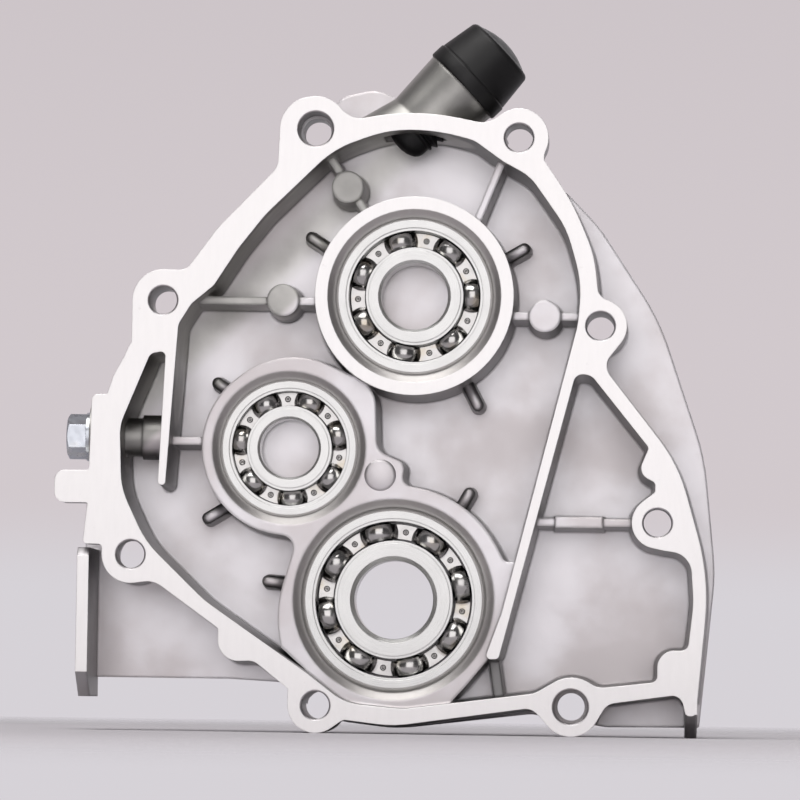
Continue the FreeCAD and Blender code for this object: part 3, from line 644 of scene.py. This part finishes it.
@dataclass
class Bearing:
    """One open ball bearing: ground rings, polished balls and a riveted pressed cage.

    Attributes:
        name: prefix of its nodes and bodies.
        pitch: radius that the ball centres run on, in millimetres.
        ball_r: ball radius.
        count: number of balls.
        first_rivet: angle of a rivet from +X towards +Z, in degrees.
        wide: width of the cage's sheet across the radius.
        seat_r: radius that its seat in the housing is bored to, with the seat's shoulder.
        thick: thickness of the sheet.
        gap: play between a ball and its pocket.
        foot: bend radius where a pocket leaves the flats, on the ball's side.
        rivet_r: radius of a rivet's head.
    """

    name: str
    pitch: float
    ball_r: float
    count: int
    first_rivet: float
    wide: float
    seat_r: float
    thick: float = 0.6
    gap: float = 0.15
    foot: float = 0.95
    rivet_r: float = 0.8

    def middle(self) -> Point:
        """Centre of the bearing, in metres."""
        return middle(f"{self.name}_outer_ring")

    def section(self, offset: float, skin: float) -> list[tuple[float, float]]:
        """One face of the sheet from the top of a pocket to the middle of a flat.

        Args:
            offset: distance of the row from the pitch circle.
            skin: 0 for the face on the ball's side, the thickness for the outer face.

        Returns:
            (turn about the bearing's axis, height above its mid-plane) along the row.
        """
        row, ball = self.pitch + offset, self.ball_r + self.gap
        reach = math.sqrt((ball + self.foot) ** 2 - self.foot ** 2)
        meet = math.asin(self.foot / (ball + self.foot))
        cup, bend = ball + skin, self.foot - skin
        start = math.acos(abs(offset) / cup)
        spots = []
        cup_steps, bend_steps, flat_steps = 10, 5, 3
        for k in range(cup_steps + 1):
            rise = start + (meet - start) * k / cup_steps
            spots.append((cup * math.cos(rise), cup * math.sin(rise)))
        for k in range(1, bend_steps + 1):
            turn = math.pi + meet + (math.pi / 2 - meet) * k / bend_steps
            spots.append((reach + bend * math.cos(turn), self.foot + bend * math.sin(turn)))

        def swing(away: float) -> float:
            """Turn at which the row is this far from the ball's axis."""
            cosine = (row ** 2 + self.pitch ** 2 - away ** 2) / (2 * row * self.pitch)
            return math.acos(max(-1.0, min(1.0, cosine)))

        line = [(swing(away), height) for away, height in spots]
        edge, half = line[-1][0], math.pi / self.count
        return line + [(edge + (half - edge) * k / flat_steps, skin)
                       for k in range(1, flat_steps + 1)]

    def cage_half(self, side: Side, finish: bpy.types.Material) -> None:
        """Press one half of the cage: a pocket over each ball, flats between them.

        Args:
            side: which half.
            finish: its finish.
        """
        rows, (x0, y0, z0) = 9, self.middle()
        first = math.radians(self.first_rivet) + math.pi / self.count
        points: list[Point] = []
        for skin in (0.0, self.thick):
            for r in range(rows):
                offset = self.wide * (r / (rows - 1) - 0.5)
                line = self.section(offset, skin)
                ring = [(-turn, height) for turn, height in line[-2:0:-1]] + line
                for k in range(self.count):
                    for turn, height in ring:
                        angle = first + 2 * math.pi * k / self.count + turn
                        radius = (self.pitch + offset) * MM
                        points.append((x0 + radius * math.cos(angle),
                                       y0 + side.value * height * MM,
                                       z0 + radius * math.sin(angle)))
        across = len(points) // (2 * rows)

        def at(skin: int, row: int, column: int) -> int:
            """Number of a grid point."""
            return (skin * rows + row) * across + column % across

        faces: Faces = []
        top = rows - 1
        for c in range(across):
            for r in range(top):
                faces.append((at(0, r, c), at(0, r + 1, c), at(0, r + 1, c + 1), at(0, r, c + 1)))
                faces.append((at(1, r, c), at(1, r, c + 1), at(1, r + 1, c + 1), at(1, r + 1, c)))
            faces.append((at(0, 0, c), at(0, 0, c + 1), at(1, 0, c + 1), at(1, 0, c)))
            faces.append((at(0, top, c), at(1, top, c), at(1, top, c + 1), at(0, top, c + 1)))
        if side is Side.BACK:
            faces = [face[::-1] for face in faces]
        which = side.name.lower()
        item = new_piece(f"{self.name}_pressed_cage_{which}", points, faces, finish)
        ease(item, 0.07 * MM, 50)
        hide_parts(f"{self.name}_cage_{which}")
        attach(item, f"{self.name}_cage")

    def rivets(self, finish: bpy.types.Material) -> None:
        """Close a rivet with a dimpled head on both sides of every flat.

        Args:
            finish: their finish.
        """
        x0, y0, z0 = self.middle()
        r, seat = self.rivet_r, self.thick - 0.02
        head = [(0.0, seat + 0.14), (0.18 * r, seat + 0.13), (0.36 * r, seat + 0.24),
                (0.55 * r, seat + 0.30), (0.76 * r, seat + 0.25), (0.92 * r, seat + 0.13), (r, seat)]
        shank = 0.6 * r
        profile = head + [(shank, seat), (shank, -seat)] + [(a, -h) for a, h in head[::-1]]
        one, skin = turned(profile, 24)
        shells: list[Shell] = []
        for k in range(self.count):
            angle = math.radians(self.first_rivet) + 2 * math.pi * k / self.count
            x = x0 + self.pitch * MM * math.cos(angle)
            z = z0 + self.pitch * MM * math.sin(angle)
            shells.append(([(x + px, y0 - pz, z + py) for px, py, pz in one], skin))
        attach(new_piece(f"{self.name}_rivets", *gathered(shells), finish), f"{self.name}_cage")

    def build(self, balls: bpy.types.Material, sheet: bpy.types.Material,
              rivet: bpy.types.Material) -> None:
        """Dress the rings and balls and make the cage.

        Args:
            balls: finish of the balls.
            sheet: finish of the cage halves.
            rivet: finish of the rivets.
        """
        ring = GroundSteel(f"{self.name}_ring_steel", self.middle()).make()
        dress(f"{self.name}_outer_ring", ring)
        dress(f"{self.name}_inner_ring", ring)
        dress(f"{self.name}_balls", balls)
        for side in Side:
            self.cage_half(side, sheet)
        self.rivets(rivet)
        log.info("%s bearing: rings, %d balls, cage and rivets", self.name, self.count)


BEARINGS = (
    Bearing("upper", pitch=14.55, ball_r=3.375, count=7, first_rivet=79.4, wide=3.6, seat_r=22.0),
    Bearing("idler", pitch=12.70, ball_r=2.975, count=7, first_rivet=93.5, wide=3.4, seat_r=19.5),
    Bearing("output", pitch=17.45, ball_r=3.97, count=8, first_rivet=81.3, wide=3.8, seat_r=25.5))


# ---------------------------------------------------------------------------------------
# Filler cap
# ---------------------------------------------------------------------------------------
@dataclass
class FillerCap:
    """Moulded filler cap with its threaded shank, turned about its own axis.

    Attributes:
        seat: middle of the mouth that it closes, in millimetres.
        tilt: lean of the axis from +Z towards +X, in degrees.
        crest: outside radius of the thread.
        pitch: lift of the thread in one turn.
        depth: depth of the thread, as a share of its pitch.
        starts: height of the thread's upper end, in millimetres from the seat.
        ends: height of its lower end.
        reach: length of the shank below the seat.
    """

    seat: Point = (17.505, -5.0, 165.2)
    tilt: float = 46.0
    crest: float = 6.95
    pitch: float = 2.0
    depth: float = 0.60
    starts: float = -0.8
    ends: float = -17.2
    reach: float = 22.3

    def thread_row(self, height: float) -> Callable[[float], float]:
        """Radius of the thread at one height, as a rule of the turn about the axis."""
        root = self.crest - self.depth * self.pitch
        lead_in, run_out = (self.starts - height) / 1.5, (height - self.ends) / 0.8
        full = min(1.0, max(0.0, lead_in), max(0.0, run_out))

        def radius(turn: float) -> float:
            """Vee with flattened root and crest."""
            phase = (height / self.pitch + turn / (2 * math.pi)) % 1.0
            vee = 1.0 - abs(2.0 * phase - 1.0)
            return root + (self.crest - root) * full * min(1.0, max(0.0, 1.25 * vee - 0.12))

        return radius

    def profile(self) -> Profile:
        """Profile from the crown down to the end of the shank."""
        crown = [(0.0, 15.9)]
        crown += [(2.2 * k, 15.9 - 0.0295 * (2.2 * k) ** 2) for k in (1, 2, 3)]
        crown += [(7.6, 14.2), (8.3, 13.96)]
        shoulder = [(8.3 + 1.5 * math.sin(a), 12.46 + 1.5 * math.cos(a))
                    for a in (math.radians(15 * k) for k in range(1, 7))]
        skirt = [(9.95, 11.4), (10.28, 9.0), (10.62, 6.5), (10.9, 4.5), (10.94, 4.15)]
        band_and_lip = [(10.88, 4.02), (10.9, 3.92), (11.08, 3.84), (11.2, 3.62), (11.23, 3.3),
                        (11.24, 2.0), (11.24, 0.5), (11.12, 0.16), (10.85, 0.01), (8.85, 0.0)]
        recess = [(8.84, 1.84), (5.75, 1.84), (5.75, -0.5)]
        thread: Profile = []
        height = self.starts
        while height > self.ends - 0.2:
            thread.append((self.thread_row(height), height))
            height -= self.pitch / 12
        end = [(5.75, -17.6), (5.74, -18.6), (5.64, -19.4), (5.35, -20.15), (4.8, -20.85),
               (3.95, -21.45), (2.75, -21.95), (1.4, -22.22), (0.0, -self.reach)]
        return crown + shoulder + skirt + band_and_lip + recess + thread + end

    def build(self, plastic: bpy.types.Material, rubber: bpy.types.Material) -> None:
        """Turn the cap, set it on its seat and dress its seal.

        Args:
            plastic: finish of the cap.
            rubber: finish of the seal.
        """
        points, faces = turned(self.profile(), 96)
        place = (Matrix.Translation(Vector(self.seat) * MM)
                 @ Matrix.Rotation(math.radians(self.tilt), 4, "Y"))
        item = new_piece("filler_cap_moulding", [tuple(place @ Vector(p)) for p in points],
                         faces, plastic)
        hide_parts("filler_cap")
        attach(item, "cap")
        dress("cap_seal", rubber)
        log.info("filler cap with its thread, and its seal")


# ---------------------------------------------------------------------------------------
# Stage
# ---------------------------------------------------------------------------------------
@dataclass(frozen=True)
class Lamp:
    """A square soft lamp that shines at the middle of the part.

    Attributes:
        name: its name.
        spot: its place, in metres.
        size: length of its side, in metres.
        power: in watts.
        tone: colour of its light.
    """

    name: str
    spot: Point
    size: float
    power: float
    tone: Colour

    def hang(self) -> None:
        """Put the lamp in the scene."""
        data = bpy.data.lights.new(self.name, "AREA")
        data.size, data.energy, data.color = self.size, self.power, self.tone
        item = bpy.data.objects.new(self.name, data)
        bpy.context.collection.objects.link(item)
        item.location = self.spot
        aim = Vector((0.0, 0.0, 0.09)) - Vector(self.spot)
        item.rotation_mode = "QUATERNION"
        item.rotation_quaternion = aim.to_track_quat("-Z", "Y")


@dataclass
class Studio:
    """Pale table, soft light and the camera.

    Attributes:
        eye: the camera's place, in millimetres.
        turn: its turns about X, Y and Z, in degrees.
        lens: focal length for a 36 mm sensor.
        table: colour of the table.
        far: radius of the table, in metres.
        fade: distances at which it starts to fade and is gone, in metres.
        wall: colour of the wall behind it.
        room: dim surroundings to the sides, the front and overhead.
        lamps: one large soft lamp in front, one above and a weak one behind.
    """

    eye: Point = (62.449, -1520.0, 9.474)
    turn: Point = (92.8513, -0.8489, 2.2093)
    lens: float = 267.975
    table: Colour = (0.672, 0.645, 0.682)
    far: float = 2.4
    fade: tuple[float, float] = (0.16, 0.8)
    wall: Colour = (0.64, 0.585, 0.61)
    room: Colour = (0.09, 0.087, 0.09)
    lamps: tuple[Lamp, ...] = (
        Lamp("front", (0.0, -2.4, 0.48), 1.8, 15.2, (1.0, 0.975, 0.985)),
        Lamp("above", (-0.25, -0.55, 1.55), 1.3, 20.5, (1.0, 0.985, 0.975)),
        Lamp("back", (0.5, 1.6, 1.0), 1.0, 3.0, (0.97, 0.98, 1.0)))

    def table_finish(self) -> bpy.types.Material:
        """Matt table top, clear away from the part."""
        s = Shader("table_top")
        s.set(Roughness=0.7,
              Base_Color=s.mix(s.noise(5.0, 2.0), self.table, toned(self.table, 0.97)))
        gone = s.node("MixShader")
        s.feed(s.ramp(s.vector("LENGTH", s.place()), *self.fade), gone.inputs["Fac"])
        s.feed(s.surface.outputs["BSDF"], gone.inputs[1])
        s.feed(s.node("BsdfTransparent").outputs["BSDF"], gone.inputs[2])
        s.feed(gone.outputs["Shader"], s.tree.nodes["Material Output"].inputs["Surface"])
        return s.material

    def floor(self) -> None:
        """Lay the table, which fades into its surroundings away from the part."""
        rings, steps = 24, 64
        points: list[Point] = [(0.0, 0.0, 0.0)]
        for r in range(1, rings + 1):
            reach = self.far * (r / rings) ** 1.5
            for k in range(steps):
                turn = 2 * math.pi * k / steps
                points.append((reach * math.cos(turn), reach * math.sin(turn), 0.0))
        faces: Faces = [(0, 1 + k, 1 + (k + 1) % steps) for k in range(steps)]
        for r in range(rings - 1):
            faces += band(1 + r * steps, 1 + (r + 1) * steps, steps)
        new_piece("table", points, faces, self.table_finish())

    def camera(self) -> None:
        """Place the camera before the joint face, low and a little right of the middle."""
        data = bpy.data.cameras.new("camera")
        data.lens, data.sensor_width = self.lens, 36.0
        data.clip_start, data.clip_end = 0.05, 60.0
        item = bpy.data.objects.new("camera", data)
        bpy.context.collection.objects.link(item)
        turn = Euler([math.radians(angle) for angle in self.turn])
        item.matrix_world = Matrix.Translation(metres(self.eye)) @ turn.to_matrix().to_4x4()
        bpy.context.scene.camera = item

    def world(self) -> None:
        """Pale surroundings to look at, and a dim room for what the part reflects."""
        world = bpy.data.worlds.new("surroundings")
        bpy.context.scene.world = world
        world.use_nodes = True
        n = Nodes(world.node_tree)
        way = n.axes(n.node("TexCoord").outputs["Generated"])
        wall = n.mix(n.ramp(way["Z"], 0.05, 0.16), self.wall, toned(self.wall, 0.93))
        behind = n.mix(n.ramp(way["Z"], 0.016, 0.034), self.table, wall)
        path = n.node("LightPath").outputs
        bent = n.math("ADD", path["Is Glossy Ray"], path["Is Transmission Ray"], clamp=True)
        backward = n.math("MULTIPLY", bent, n.ramp(way["Y"], 0.35, 0.85))
        seen = n.math("ADD", path["Is Camera Ray"], backward, clamp=True)
        n.feed(n.mix(seen, self.room, behind), n.tree.nodes["Background"].inputs["Color"])

    def build(self) -> None:
        """Set the whole stage."""
        self.floor()
        self.camera()
        for lamp in self.lamps:
            lamp.hang()
        self.world()
        bpy.context.scene.view_settings.view_transform = "Standard"


def main() -> None:
    """Build every piece in order."""
    logging.basicConfig(level=logging.INFO, format="%(name)s: %(message)s")
    Studio().build()
    log.info("stage set")
    cast = CastAluminium(tuple((one.middle(), one.seat_r * MM) for one in BEARINGS)).make()
    dress("housing", cast)
    CastDetails().build(cast)
    log.info("housing dressed")
    balls = BrightMetal("ball_steel", (0.58, 0.58, 0.60), (0.54, 0.52, 0.48), 0.3, 0.10).make()
    sheet = BrightMetal("pressed_sheet", (0.54, 0.53, 0.52), (0.50, 0.40, 0.24), 0.45, 0.20,
                        grain=0.002).make()
    rivet = BrightMetal("rivet_steel", (0.42, 0.41, 0.40), (0.30, 0.27, 0.24), 0.5, 0.24).make()
    for bearing in BEARINGS:
        bearing.build(balls, sheet, rivet)
    FillerCap().build(Moulding("cap_plastic", (0.0075, 0.007, 0.0075), 0.48).make(),
                      Moulding("seal_rubber", (0.012, 0.012, 0.012), 0.6).make())
    zinc = BrightMetal("zinc_plate", (0.60, 0.63, 0.68), (0.66, 0.64, 0.58), 0.5, 0.30,
                       grain=0.003, edge=0.25).make()
    dress("level_plug", zinc)
    dress("plug_washer", zinc)
    log.info("level plug and washer dressed")


if __name__ == "__main__":
    main()
